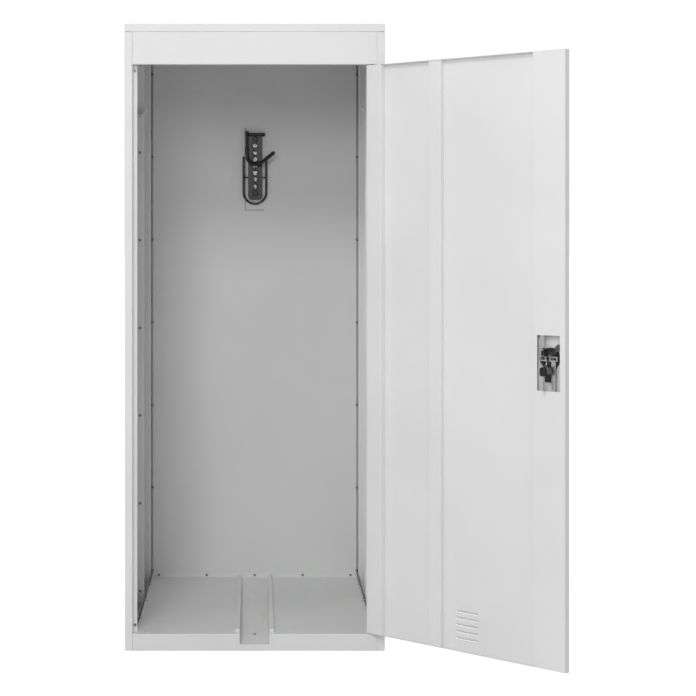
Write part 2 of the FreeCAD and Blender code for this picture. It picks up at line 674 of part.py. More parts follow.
def lock_handle():
    """The lever, its boss and the spindle that carries the cam."""
    body = new_body("lock_handle")
    centre = [("lock_x", "lock_height")]
    base = "cup_end + cup_wall + touch_gap"
    lever = rectangle("lock_x - handle_width / 2", "lock_x + handle_width / 2",
                      "lock_height - handle_length / 2", "lock_height + handle_length / 2")
    pad(body, "y", base, "handle_height", [lever])
    corners = [(size("lock_x") + x * size("handle_width") / 2,
                size("lock_height") + z * size("handle_length") / 2)
               for x in (-1, 1) for z in (-1, 1)]
    round_bends(body, "y", corners, "handle_width / 2.2")
    pad(body, "y", base, "handle_height + 1.5", circles=centre, radius="barrel_radius + 3.5")
    pad(body, "y", "rod_front + 0.1", base + " - rod_front + 1", circles=centre,
        radius="spindle_radius")
    pocket(body, "y", base + " + 2", "handle_height + 2", circles=centre,
           radius="barrel_radius + run_gap")
    turned(body)
    place_on_door(body)


def turned(piece):
    """Turn a piece about the lock's axis from lever level to its place at rest."""
    centre = vec("lock_x", 0, "lock_height")
    turn = FreeCAD.Rotation(Y, -size("lever_rest"))
    piece.Placement = FreeCAD.Placement(centre, turn).multiply(
        FreeCAD.Placement(-centre, FreeCAD.Rotation())
    )


def key_barrel():
    base = vec("lock_x", "cup_end + cup_wall + touch_gap + 2", "lock_height")
    tall = size("handle_height")
    barrel = cylinder(size("barrel_radius"), base, base + Y * tall)
    slot = Part.makeBox(1.4, tall, 0.66 * size("barrel_radius") * 2,
                        base + FreeCAD.Vector(-0.7, tall - 2.5, -0.66 * size("barrel_radius")))
    place_on_door(feature("key_barrel", barrel.cut(slot)))


def lock_cam():
    """The cam plate with its two drive pins, and the lever on the same plate."""
    centre = vec("lock_x", "cam_rear", "lock_height")
    thick, width = size("cam_thickness"), size("cam_width")
    level = size("lever_rest")
    shape = Part.makeCylinder(width * 0.62, thick, centre, Y)
    for angle in (180, 0):
        arm = Part.makeBox(size("cam_radius"), thick, width * 0.7,
                           centre - Z * (width * 0.35))
        end = Part.makeCylinder(width * 0.35, thick, centre + X * size("cam_radius"), Y)
        pin = cylinder(size("cam_pin_radius"), centre + X * size("cam_radius"),
                       centre + X * size("cam_radius") - Y * size("rod_thickness + 0.8"))
        lobe = arm.fuse([end, pin])
        lobe.rotate(centre, Y, level + angle)
        shape = shape.fuse(lobe)
    lever = Part.makeBox(size("lever_length - lever_width / 2"), thick, size("lever_width"),
                          centre - Z * size("lever_width / 2"))
    tip = Part.makeCylinder(size("lever_width / 2"), thick,
                            centre + X * size("lever_length - lever_width / 2"), Y)
    shape = shape.fuse([lever, tip]).removeSplitter()
    bore = Part.makeCylinder(size("spindle_radius"), thick * 3, centre - Y * thick, Y)
    piece = feature("lock_cam", shape.cut(bore))
    turned(piece)
    place_on_door(piece)


def lock_case():
    """The lock's case between the rods, and the moulded block under it."""
    case = new_body("lock_case")
    low, high = "lock_height - case_drop - case_height", "lock_height - case_drop"
    sides = ("lock_x - case_width / 2", "lock_x + case_width / 2")
    pad(case, "y", "door_in + 2 * gauge", "skin_in - door_in - 2 * gauge",
        [rectangle(sides[0], sides[1], low, high)])
    corners = [(size(x), size(high)) for x in sides]
    round_bends(case, "y", corners, "case_width / 2.5")
    cup = [("lock_x", "lock_height")]
    pocket(case, "y", "cup_end - touch_gap", "cup_back + cup_flange_height", circles=cup,
           radius="cup_radius + 2 * touch_gap")
    block = new_body("lock_block")
    pad(block, "y", "door_in + gauge + touch_gap", "skin_in - door_in - gauge - touch_gap",
        [rectangle("lock_x - block_half", "lock_x + block_half", low + " - block_tall", low)])
    round_bends(block, "y", [(size("lock_x - block_half"), size(low + " - block_tall"))],
                "block_half / 2")
    for body in (case, block):
        place_on_door(body)


def rods():
    """Flat rods that the cam's pins lift and lower through a yoke slot."""
    width, front, rear = size("rod_width"), size("rod_front"), size("rod_rear")
    ends = (("upper_rod", upper_rod_x(), -1, size("door_top") - 1.5),
            ("lower_rod", lower_rod_x(), 1, size("door_low") + 1.5))
    for label, across, sign, tip in ends:
        pin_z = size("lock_height")
        x = size(across)
        half = size("yoke_width") / 2
        tall = size("yoke_height") / 2
        yoke = Part.makeBox(2 * half, front - rear, 2 * tall, FreeCAD.Vector(x - half, rear, pin_z - tall))
        low, high = sorted((pin_z, tip))
        bar = Part.makeBox(width, front - rear, high - low, FreeCAD.Vector(x - width / 2, rear, low))
        play = size("cam_pin_radius + rod_play")
        slot = Part.makeBox(2 * half - 7, front - rear + 2, 2 * play,
                            FreeCAD.Vector(x - half + 3.5, rear - 1, pin_z - play))
        place_on_door(feature(label, yoke.fuse(bar).cut(slot).removeSplitter()))
        guide_z = tip + sign * size("guide_from_end")
        guide(label + "_guide", x, guide_z)


def guide(label, x, z):
    """A staple on the skin that keeps a rod in line."""
    wide, tall, play = size("guide_width"), size("guide_height"), size("rod_play")
    low_y = size("door_in + gauge + touch_gap")
    block = Part.makeBox(wide, size("skin_in") - low_y, tall,
                         FreeCAD.Vector(x - wide / 2, low_y, z - tall / 2))
    hole = Part.makeBox(size("rod_width") + 2 * play, size("rod_front - rod_rear") + 2 * play, tall * 2,
                        FreeCAD.Vector(x - size("rod_width") / 2 - play, size("rod_rear") - play, z - tall))
    place_on_door(feature(label, block.cut(hole)))


def key_set():
    """A ring on a peg inside the door, with two keys that hang in front of the lock window."""
    ring_y = -size("ring_out")
    foot = vec("free_edge - peg_foot_set", "skin_in", "peg_height")
    hang = vec("free_edge - peg_set", ring_y, "peg_height")
    bends = [foot, vec(foot.x, "door_in - 2 * peg_radius", "peg_height"), hang + Y * 4, hang - Y * 4]
    end = bends[-1]
    runs = [cylinder(size("peg_radius"), a, b) for a, b in zip(bends, bends[1:])]
    knees = [Part.makeSphere(size("peg_radius"), bend) for bend in bends[1:3]]
    peg = runs[0].fuse(runs[1:] + knees)
    plate = cylinder(size("peg_radius") * 2.2, foot - Y * 0.5, foot - Y * 2)
    knob = cylinder(size("peg_radius") * 1.7, end, end - Y * 2)
    place_on_door(feature("key_peg", peg.fuse([plate, knob]).removeSplitter()))
    place_on_door(feature("key_tag", key_tag(hang)))
    drop = size("tag_drop + tag_hole - ring_wire - touch_gap + ring_radius")
    middle = hang - Z * drop
    ring = Part.makeTorus(size("ring_radius"), size("ring_wire"), middle, X)
    place_on_door(feature("key_ring", ring))
    spread = size("key_spread")
    ring_low = middle.z - math.sqrt(size("ring_radius") ** 2 - spread ** 2)
    key("first", hang.x, ring_y - spread, ring_low)
    key("second", hang.x, ring_y + spread, ring_low)


def key_tag(hang):
    """A flat oval tag that hangs on the peg and carries the ring in its lower hole."""
    wide, tall, thick = size("tag_width") / 2, size("tag_height") / 2, size("tag_thickness")
    middle = hang - Z * (size("tag_drop") / 2) + Y * (thick / 2)
    oval = Part.Ellipse(middle + Z * tall, middle + X * wide, middle)
    shape = Part.Face(Part.Wire(oval.toShape())).extrude(-Y * thick)
    rims = [e for e in shape.Edges if abs(e.Length - oval.toShape().Length) < 1e-3]
    shape = shape.makeFillet(0.8, rims)
    for drop in (0, size("tag_drop")):
        spot = hang - Z * drop + Y * (thick * 2)
        shape = shape.cut(Part.makeCylinder(size("tag_hole"), thick * 4, spot, -Y))
    return shape


def key(name, x, y, ring_low):
    """One key: a plastic bow with a hole that the ring passes through, and a steel blade."""
    half, tall, thick = size("key_head"), size("key_head_length"), size("key_head_thickness")
    hole_z = ring_low - size("(key_hole - ring_wire) * 0.72")
    top = hole_z + size("key_hole") + 2.5
    box = Part.makeBox(2 * half, thick, tall, FreeCAD.Vector(x - half, y - thick / 2, top - tall))
    bow = box.makeFillet(half * 0.7, [e for e in box.Edges if abs(e.tangentAt(0).y) > 0.9])
    spot = FreeCAD.Vector(x, y - thick, hole_z)
    bow = bow.cut(Part.makeCylinder(size("key_hole"), thick * 2, spot, Y))
    blade_thick, width = size("key_blade_thickness"), size("key_blade_width")
    foot = top - tall - size("key_blade")
    blade = Part.makeBox(width, blade_thick, size("key_blade"),
                         FreeCAD.Vector(x - width / 2, y - blade_thick / 2, foot))
    for i, deep in enumerate((1.2, 2.0, 0.9, 1.6, 0.7)):
        notch = Part.makeBox(4, blade_thick * 2, 2.4, FreeCAD.Vector(
            x + width / 2 - deep, y - blade_thick, foot + 4 + 4.6 * i))
        blade = blade.cut(notch)
    place_on_door(feature("key_bow_" + name, bow))
    place_on_door(feature("key_blade_" + name, blade))


def hook_plate():
    body = new_body("hook_backing_plate")
    outline = rectangle("-plate_width / 2", "plate_width / 2", "plate_low", "plate_low + plate_height")
    pad(body, "y", "back_face - plate_gauge", "plate_gauge", [outline])
    pocket(body, "y", "back_face - 2 * plate_gauge", "3 * plate_gauge", circles=hook_bolt_spots(),
           radius="bolt_radius + hole_gap")


def strip_spots(numbers):
    """Places down the middle of the strip, counted from its foot."""
    across = "strip_left + strip_width / 2"
    return [(across, "strip_low + strip_first + %d * strip_pitch" % i) for i in numbers]


def hook_bolt_spots():
    return strip_spots((0, 8))


def hook_strip():
    """The U-strip that the hook and the wheel loop stand on, with a row of raised bosses."""
    body = new_body("hook_strip")
    sides = ("strip_left", "strip_left + strip_width")
    top = "strip_low + strip_height"
    pad(body, "y", "strip_front", "strip_depth", [rectangle(sides[0], sides[1], "strip_low", top)])
    round_bends(body, "y", [(size(x), size("strip_low")) for x in sides], "strip_corner")
    hollow = rectangle(sides[0] + " + strip_gauge", sides[1] + " - strip_gauge",
                       "strip_low + strip_corner", top + " - strip_gauge")
    pocket(body, "y", "strip_front + strip_gauge", "strip_depth", [hollow])
    pad(body, "y", "strip_front - boss_height", "boss_height + strip_gauge / 2",
        circles=strip_spots(range(1, 8)), radius="boss_radius")
    base = body.Tip
    rims = [number for number, edge in enumerate(body.Shape.Edges, start=1)
            if len(edge.Vertexes) == 1 and edge.CenterOfMass.y < size("strip_front") - 1]
    dome = body.newObject("PartDesign::Fillet", "boss_dome")
    dome.Base = (base, ["Edge%d" % number for number in rims])
    dome.setExpression("Radius", bound("boss_height * 0.9"))
    doc.recompute()
    pocket(body, "y", "strip_front - 1", "strip_gauge + 2", circles=hook_bolt_spots(),
           radius="bolt_radius + hole_gap")


def hook_pivot():
    """Two lugs beside the strip, bored for the arm, and the bar across the strip's head."""
    x, y = size("pivot_across"), size("arm_y")
    shape = None
    side = size("strip_left")
    for low in ("upper_lug", "lower_lug"):
        z, tall = size(low), size("lug_height")
        half = size("lug_width") / 2
        lug = Part.makeBox(side - x, size("strip_front") + 8 - y, tall, FreeCAD.Vector(x, y, z))
        eye = Part.makeCylinder(half, tall, FreeCAD.Vector(x, y, z))
        cheek = Part.makeBox(side - x + half, 8, tall,
                             FreeCAD.Vector(x - half, size("strip_front") - 8, z))
        web = Part.makeBox(half, size("strip_front") - y, tall, FreeCAD.Vector(x - half, y, z))
        lug = lug.fuse([eye, cheek, web])
        shape = shape.fuse(lug) if shape else lug
    bar_z = size("upper_lug + lug_height / 2")
    bar_y = size("strip_front - bar_radius")
    bar_start = FreeCAD.Vector(side - 2, bar_y, bar_z)
    bar_end = bar_start + X * size("bar_length")
    knob = Part.makeSphere(size("bar_radius") * 1.25, bar_end - Y * 1.5)
    shape = shape.fuse([cylinder(size("bar_radius"), bar_start, bar_end), knob])
    for low in ("upper_lug", "lower_lug"):
        bore = Part.makeCylinder(size("arm_radius + run_gap"), size("lug_height") + 4,
                                 FreeCAD.Vector(x, y, size(low) - 2))
        shape = shape.cut(bore)
    feature("hook_pivot", shape.removeSplitter())


def swept(radius, edges):
    """A round rod along a path of tangent lines and arcs."""
    path = Part.Wire(edges)
    start = edges[0].valueAt(edges[0].FirstParameter)
    along = edges[0].tangentAt(edges[0].FirstParameter)
    ring = Part.Wire(Part.Circle(start, along, radius).toShape())
    return path.makePipeShell([ring], True, True)


def arm_edges(top):
    """The hook's line, from the height top down the leg, round the bend and up to the tip."""
    turn = math.radians(size("arm_swing"))
    out = FreeCAD.Vector(math.sin(turn), -math.cos(turn), 0)
    foot = vec("pivot_across", "arm_y", "arm_bend_top")
    bend, rise, rise_angle = size("arm_bend"), size("arm_rise_radius"), math.radians(size("arm_rise"))
    first = foot + out * bend
    low = first - Z * bend
    mid = first + (-out * math.cos(math.pi / 4) - Z * math.sin(math.pi / 4)) * bend
    second = low + Z * rise

    def on_rise(angle):
        return second + (out * math.sin(angle) - Z * math.cos(angle)) * rise

    end = on_rise(rise_angle)
    tip = end + (out * math.cos(rise_angle) + Z * math.sin(rise_angle)) * size("arm_tip")
    start = FreeCAD.Vector(foot.x, foot.y, top)
    return [
        Part.LineSegment(start, foot).toShape(),
        Part.Arc(foot, mid, low).toShape(),
        Part.Arc(low, on_rise(rise_angle / 2), end).toShape(),
        Part.LineSegment(end, tip).toShape(),
    ]


def hook_arm():
    """The steel hook that swings about its upright leg, and the soft sleeve that it wears."""
    radius = size("arm_radius")
    top = size("upper_lug + lug_height + touch_gap + arm_collar_height")
    rod = swept(radius, arm_edges(top))
    seat = vec("pivot_across", "arm_y", "upper_lug + lug_height + touch_gap")
    collar = cylinder(size("arm_collar"), seat, seat + Z * size("arm_collar_height"))
    rim = [e for e in collar.Edges if len(e.Vertexes) == 1 and e.CenterOfMass.z > seat.z + 1]
    feature("hook_arm", rod.fuse(collar.makeFillet(2, rim)).removeSplitter())
    sleeve_top = size("lower_lug - 2")
    edges = arm_edges(sleeve_top)
    tip = edges[-1].valueAt(edges[-1].LastParameter)
    outer = swept(size("sleeve_radius"), edges).fuse(Part.makeSphere(size("sleeve_radius"), tip))
    feature("hook_sleeve", outer.cut(rod).removeSplitter())


def wheel_loop():
    """The coated rod round the strip that steadies the tyre."""
    left, right, low, top = (size(n) for n in ("loop_left", "loop_right", "loop_low", "loop_top"))
    y, wall, corner = size("loop_y"), size("back_face"), size("loop_corner")
    half, centre = (right - left) / 2, (right + left) / 2
    middle = low + half
    diagonal = corner * (1 - math.cos(math.pi / 4))

    def spot(x, y_at, z):
        return FreeCAD.Vector(x, y_at, z)

    edges = []
    edges.append(Part.LineSegment(spot(right, wall, top), spot(right, y + corner, top)).toShape())
    edges.append(Part.Arc(spot(right, y + corner, top), spot(right, y + diagonal, top - diagonal),
                          spot(right, y, top - corner)).toShape())
    edges.append(Part.LineSegment(spot(right, y, top - corner), spot(right, y, middle)).toShape())
    edges.append(Part.Arc(spot(right, y, middle), spot(centre, y, low), spot(left, y, middle)).toShape())
    edges.append(Part.LineSegment(spot(left, y, middle), spot(left, y, top - corner)).toShape())
    edges.append(Part.Arc(spot(left, y, top - corner), spot(left, y + diagonal, top - diagonal),
                          spot(left, y + corner, top)).toShape())
    edges.append(Part.LineSegment(spot(left, y + corner, top), spot(left, wall, top)).toShape())
    loop = swept(size("loop_radius"), edges)
    level, thin = size("tie_height"), size("loop_radius") * 0.7
    sides = (size("strip_left"), size("strip_left + strip_width"))
    ties = [cylinder(thin, spot(side, y, level), spot(end, y, level))
            for side, end in zip(sides, (left, right))]
    feature("wheel_loop", loop.fuse(ties).removeSplitter())


def hook_bolts():
    bolts = []
    for x, height in hook_bolt_spots():
        seat = vec(x, "strip_front", height)
        tall = size("bolt_head_height")
        head = Part.makeCylinder(size("bolt_head"), tall, seat, -Y)
        rims = [e for e in head.Edges if len(e.Vertexes) == 1 and e.CenterOfMass.y < seat.y - 1]
        head = head.makeFillet(tall * 0.8, rims)
        socket = Part.makeCylinder(3.4, 2.2, seat - Y * tall, Y)
        head = head.cut(socket)
        shank = cylinder(size("bolt_radius"), seat, vec(x, "tray_back", height))
        bolts.append(head.fuse(shank).removeSplitter())
    feature("hook_bolts", Part.makeCompound(bolts))


def side_hooks():
    """A J-shaped hook on each side sheet, just in front of the joint, for a helmet or a lead."""
    for name, sign in SIDES:
        body = new_body("side_hook_" + name)
        wall = "half_width - gauge"
        outline = [
            (wall, "side_hook_height + side_hook_tall"),
            (wall, "side_hook_height"),
            (wall + " - side_hook_reach * 0.45", "side_hook_height - side_hook_tip * 0.3"),
            (wall + " - side_hook_reach", "side_hook_height + side_hook_tip"),
            (wall + " - side_hook_reach + side_hook_gauge", "side_hook_height + side_hook_tip + 1.5"),
            (wall + " - side_hook_reach * 0.45 + 1",
             "side_hook_height - side_hook_tip * 0.3 + 1.5 * side_hook_gauge"),
            (wall + " - side_hook_gauge", "side_hook_height + side_hook_gauge * 1.5"),
            (wall + " - side_hook_gauge", "side_hook_height + side_hook_tall"),
        ]
        outline = [("%d * (%s)" % (sign, x), z) for x, z in outline]
        pad(body, "y", "joint_at - side_hook_back - side_hook_depth", "side_hook_depth", [outline])


def write_files():
    doc.recompute()
    for item in doc.Objects:
        if "Invalid" in item.State or "Error" in item.State:
            raise RuntimeError("not built: " + item.Label)
    for piece in nodes:
        if piece.Shape.isNull() or not piece.Shape.isValid():
            raise RuntimeError("no sound shape: " + piece.Label)
    os.makedirs("parts", exist_ok=True)
    for piece in nodes:
        piece.Shape.exportStep("parts/" + piece.Label + ".step")
    print(len(nodes), "pieces written")


fill_sheet()
side_sheets()
back_panel()
floor_pan()
wheel_channel()
for name, sign in SIDES:
    channel_rail(name, sign)
floor_bearer()
base_rails()
header_panel()
top_panel()
carcass_fasteners()
hinge_blocks()
door_skin()
door_members()
hinge_pins()
lock_cup()
lock_handle()
key_barrel()
lock_cam()
lock_case()
rods()
key_set()
hook_plate()
hook_strip()
hook_pivot()
hook_arm()
wheel_loop()
hook_bolts()
side_hooks()
write_files()
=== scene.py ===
import math

import bmesh
import bpy
from mathutils import Matrix, Vector


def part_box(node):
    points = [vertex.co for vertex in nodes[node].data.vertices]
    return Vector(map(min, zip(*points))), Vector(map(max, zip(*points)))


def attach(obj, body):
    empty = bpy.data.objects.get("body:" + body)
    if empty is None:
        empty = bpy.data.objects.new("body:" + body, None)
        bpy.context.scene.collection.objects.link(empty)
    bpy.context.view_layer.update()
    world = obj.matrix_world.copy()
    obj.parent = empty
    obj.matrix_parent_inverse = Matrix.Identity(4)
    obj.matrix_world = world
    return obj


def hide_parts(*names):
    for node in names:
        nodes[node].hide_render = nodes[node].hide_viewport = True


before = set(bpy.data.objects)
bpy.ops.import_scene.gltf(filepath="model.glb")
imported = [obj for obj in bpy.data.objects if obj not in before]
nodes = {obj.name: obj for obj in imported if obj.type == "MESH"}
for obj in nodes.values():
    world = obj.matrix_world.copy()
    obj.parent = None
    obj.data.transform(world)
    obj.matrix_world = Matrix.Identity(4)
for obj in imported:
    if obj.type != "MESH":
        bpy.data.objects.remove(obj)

scene = bpy.context.scene
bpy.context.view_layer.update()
MM = 0.001


# ---------------------------------------------------------------- camera

# A level camera that looks straight at the back wall, set off to the carcass's middle line.
camera = bpy.data.objects.new("camera", bpy.data.cameras.new("camera"))
scene.collection.objects.link(camera)
camera.location = (0, -6.478, 1.3433)
camera.rotation_euler = (math.radians(90), 0, 0)
camera.data.sensor_width = 36
camera.data.lens = 97.09
camera.data.shift_x = 0.1341
camera.data.shift_y = -0.1698
camera.data.clip_end = 100
scene.camera = camera
scene.view_settings.view_transform = "Standard"


# ---------------------------------------------------------------- finishes

def linear(hex_code):
    """An sRGB hex colour as the linear colour that the shaders take."""
    parts = [int(hex_code[i:i + 2], 16) / 255 for i in (0, 2, 4)]
    return [p / 12.92 if p <= 0.04045 else ((p + 0.055) / 1.055) ** 2.4 for p in parts] + [1]


def add_node(tree, kind, values=None, **settings):
    """One node with its settings; each value is a constant or another node's output."""
    node = tree.nodes.new(kind)
    for name, value in settings.items():
        setattr(node, name, value)
    for socket, value in (values or {}).items():
        if isinstance(value, bpy.types.NodeSocket):
            tree.links.new(value, node.inputs[socket])
        else:
            node.inputs[socket].default_value = value
    return node


def per_mm(size):
    """The texture scale that gives a pattern of this size in millimetres."""
    return 1 / (size * MM)


def new_finish(name, roughness, metallic=0.0, ior=1.5):
    """A material with its tree, its shader and the place that its patterns read."""
    finish = bpy.data.materials.new(name)
    finish.use_nodes = True
    tree = finish.node_tree
    shader = tree.nodes["Principled BSDF"]
    shader.inputs["Roughness"].default_value = roughness
    shader.inputs["Metallic"].default_value = metallic
    shader.inputs["IOR"].default_value = ior
    place = add_node(tree, "ShaderNodeTexCoord").outputs["Object"]
    return finish, tree, shader, place


def noise(tree, place, size, detail=2.0, stretch=None):
    """Noise whose features are size millimetres across, drawn out along an axis if asked."""
    if stretch:
        place = add_node(tree, "ShaderNodeMapping", {"Vector": place, "Scale": stretch}).outputs[0]
    values = {"Vector": place, "Scale": per_mm(size), "Detail": detail}
    return add_node(tree, "ShaderNodeTexNoise", values).outputs["Fac"]


def remap(tree, value, low, high, to_low, to_high):
    """Spread a pattern's value from one range to another."""
    values = {"Value": value, "From Min": low, "From Max": high, "To Min": to_low, "To Max": to_high}
    return add_node(tree, "ShaderNodeMapRange", values).outputs["Result"]


def tint(tree, shader, share, low_hex, high_hex):
    """Colour the shader from one hex colour to another as share goes from 0 to 1."""
    mix = add_node(tree, "ShaderNodeMix", {"Factor": share}, data_type="RGBA")
    mix.inputs[6].default_value = linear(low_hex)
    mix.inputs[7].default_value = linear(high_hex)
    tree.links.new(mix.outputs[2], shader.inputs["Base Color"])
    return mix


def relief(tree, shader, layers, arris=0.0):
    """Stack bumps on the shader: each layer is a height pattern with its depth in mm.

    Paint and plating never leave a sharp edge, so arris rounds the shading there, in mm.
    """
    normal = None
    if arris:
        normal = add_node(tree, "ShaderNodeBevel", {"Radius": arris * MM}, samples=4).outputs["Normal"]
    for height, depth in layers:
        values = {"Height": height, "Distance": depth * MM, "Strength": 1.0}
        if normal:
            values["Normal"] = normal
        normal = add_node(tree, "ShaderNodeBump", values).outputs["Normal"]
    tree.links.new(normal, shader.inputs["Normal"])


def powder_coat(name, low_hex, high_hex, roughness=0.42, marks=0.0):
    """Polyester powder coat on sheet steel: satin, with orange peel about 2 mm across.

    The sheet under it is never quite flat, so its sheen drifts over a hand's width.
    """
    finish, tree, shader, place = new_finish(name, roughness)
    drift = noise(tree, place, 420, 3)
    share = remap(tree, drift, 0.35, 0.65, 0, 1)
    mix = tint(tree, shader, share, low_hex, high_hex)
    if marks:
        # tyre scuffs: faint dark streaks that run from front to back
        streak = noise(tree, place, 9, 4, stretch=(1, 0.05, 1))
        patch = noise(tree, place, 160, 2)
        both = add_node(tree, "ShaderNodeMath", {0: streak, 1: patch}, operation="MULTIPLY")
        wear_and_highlight = remap(tree, both.outputs[0], 0.27, 0.42, 0, marks)
        dark = add_node(tree, "ShaderNodeMix", {"Factor": wear_and_highlight}, data_type="RGBA")
        tree.links.new(mix.outputs[2], dark.inputs[6])
        dark.inputs[7].default_value = linear("6E6D6A")
        tree.links.new(dark.outputs[2], shader.inputs["Base Color"])
    satin = remap(tree, noise(tree, place, 70, 3), 0.3, 0.7, roughness - 0.05, roughness + 0.06)
    tree.links.new(satin, shader.inputs["Roughness"])
    relief(tree, shader, [(noise(tree, place, 260, 1), 1.2), (noise(tree, place, 2.2, 2), 0.05)], 0.8)
    return finish


def plated_steel(name, low_hex, high_hex, roughness=0.34, grain=None):
    """Zinc-plated steel: bright grey, with a fine mottle and the roll or file lines of its grain."""
    finish, tree, shader, place = new_finish(name, roughness, metallic=1.0)
    mottle = noise(tree, place, 3.5, 4)
    tint(tree, shader, remap(tree, mottle, 0.35, 0.65, 0, 1), low_hex, high_hex)
    lines = noise(tree, place, 1.1, 2, stretch=grain or (1, 1, 0.08))
    tree.links.new(remap(tree, lines, 0.3, 0.7, roughness - 0.08, roughness + 0.12),
                   shader.inputs["Roughness"])
    relief(tree, shader, [(lines, 0.03)])
    return finish


def moulded_plastic(name, low_hex, high_hex, roughness=0.48):
    """Glass-filled nylon, moulded with a spark-eroded grain about 0.6 mm across."""
    finish, tree, shader, place = new_finish(name, roughness, ior=1.53)
    grain = noise(tree, place, 0.6, 3)
    tint(tree, shader, remap(tree, noise(tree, place, 14, 2), 0.35, 0.65, 0, 1), low_hex, high_hex)
    relief(tree, shader, [(grain, 0.04)])
    return finish


def dipped_vinyl(name, low_hex, high_hex, roughness=0.36):
    """Steel dipped in soft PVC: deep black, with slow runs and a soft shine."""
    finish, tree, shader, place = new_finish(name, roughness, ior=1.54)
    shader.inputs["Coat Weight"].default_value = 0.25
    shader.inputs["Coat Roughness"].default_value = 0.22
    runs = noise(tree, place, 16, 2, stretch=(1, 1, 0.5))
    tint(tree, shader, remap(tree, runs, 0.35, 0.65, 0, 1), low_hex, high_hex)
    relief(tree, shader, [(runs, 0.25), (noise(tree, place, 1.4, 2), 0.03)], 1.0)
    return finish


body_coat = powder_coat("light grey powder coat on body", "E4E5E4", "E9EAE9")
door_coat = powder_coat("light grey powder coat on door", "E5E6E5", "EAEBEA")
back_coat = powder_coat("light grey powder coat on back panel", "DEDFDE", "E3E4E3", 0.46)
floor_coat = powder_coat("light grey powder coat on floor", "E2E3E2", "E7E8E7", 0.38, marks=0.03)
channel_coat = powder_coat("light grey powder coat on wheel channel", "E4E5E4", "EAEBEA", 0.36, marks=0.08)
# painted shade: this zinc is coloured darker than the flat bar's, for the dark look of the screw heads in
# shade; the hinge pins and hinge blocks take it too
zinc = plated_steel("zinc plated screws", "76787A", "989A9C", 0.30, grain=(1, 1, 1))
rolled = plated_steel("zinc plated flat bar", "C2C4C6", "DEE0E2", 0.24)
cast_zinc = plated_steel("die-cast zinc lever", "605D59", "7C7974", 0.30)
cut_steel = plated_steel("nickel plated key steel", "D2D0CA", "ECEAE6", 0.18, grain=(0.2, 0.2, 1))
case_plastic = moulded_plastic("grey lock case plastic", "64625C", "706E68", 0.42)
nylon = moulded_plastic("black glass-filled nylon", "101011", "161617")
key_plastic = moulded_plastic("black key bow plastic", "0E0E0F", "141415", 0.40)
vinyl = dipped_vinyl("black dipped vinyl", "08080A", "0D0D0F")
black_coat = dipped_vinyl("black plastic coated steel", "0B0B0C", "121214", 0.44)

def studded(name, node, low_hex, high_hex):
    """Dipped vinyl whose raised bosses carry a painted highlight: light metallic grey at their crowns."""
    finish = dipped_vinyl(name, low_hex, high_hex, 0.40)
    tree = finish.node_tree
    shader = tree.nodes["Principled BSDF"]
    place = add_node(tree, "ShaderNodeTexCoord").outputs["Object"]
    depth = add_node(tree, "ShaderNodeSeparateXYZ", {"Vector": place}).outputs["Y"]
    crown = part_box(node)[0][1]
    # painted highlight: the crown of each boss is coloured light metallic grey in patches, standing in for
    # the glints on the domes
    proud = remap(tree, depth, crown + 1.4 * MM, crown + 0.1 * MM, 0, 1)
    highlighted = remap(tree, noise(tree, place, 7, 2), 0.44, 0.56, 0.1, 0.9)
    wear_and_highlight = add_node(tree, "ShaderNodeMath", {0: proud, 1: highlighted}, operation="MULTIPLY").outputs[0]
    coat = shader.inputs["Base Color"].links[0].from_socket
    highlight_mix = add_node(tree, "ShaderNodeMix", {"Factor": wear_and_highlight}, data_type="RGBA")
    tree.links.new(coat, highlight_mix.inputs[6])
    highlight_mix.inputs[7].default_value = linear("B9BBBD")
    tree.links.new(highlight_mix.outputs[2], shader.inputs["Base Color"])
    tree.links.new(wear_and_highlight, shader.inputs["Metallic"])
    return finish


def outlined(name, node, low_hex, high_hex, width):
    """Powder coat with a painted shadow line along a plate's left and lower edges, width in mm."""
    finish = powder_coat(name, low_hex, high_hex, 0.46)
    tree = finish.node_tree
    shader = tree.nodes["Principled BSDF"]
    place = add_node(tree, "ShaderNodeTexCoord").outputs["Object"]
    parts = add_node(tree, "ShaderNodeSeparateXYZ", {"Vector": place}).outputs
    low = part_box(node)[0]
    # painted shade: a dark line along the left and lower edges stands in for the shadow gap round the
    # plate
    left = remap(tree, parts["X"], low[0] + 0.8 * width * MM, low[0] + width * MM, 1, 0)
    foot = remap(tree, parts["Z"], low[2] + 0.8 * width * MM, low[2] + width * MM, 1, 0)
    edge = add_node(tree, "ShaderNodeMath", {0: left, 1: foot}, operation="MAXIMUM").outputs[0]
    coat = shader.inputs["Base Color"].links[0].from_socket
    shadow_line_mix = add_node(tree, "ShaderNodeMix", {"Factor": edge}, data_type="RGBA")
    tree.links.new(coat, shadow_line_mix.inputs[6])
    shadow_line_mix.inputs[7].default_value = linear("55565A")
    tree.links.new(shadow_line_mix.outputs[2], shader.inputs["Base Color"])
    return finish


strip_coat = studded("black coat with rubbed bosses", "hook_strip", "0B0B0C", "121214")
plate_coat = outlined("light grey powder coat on hook plate", "hook_backing_plate", "DEDFDE", "E3E4E3",
                      2.2)

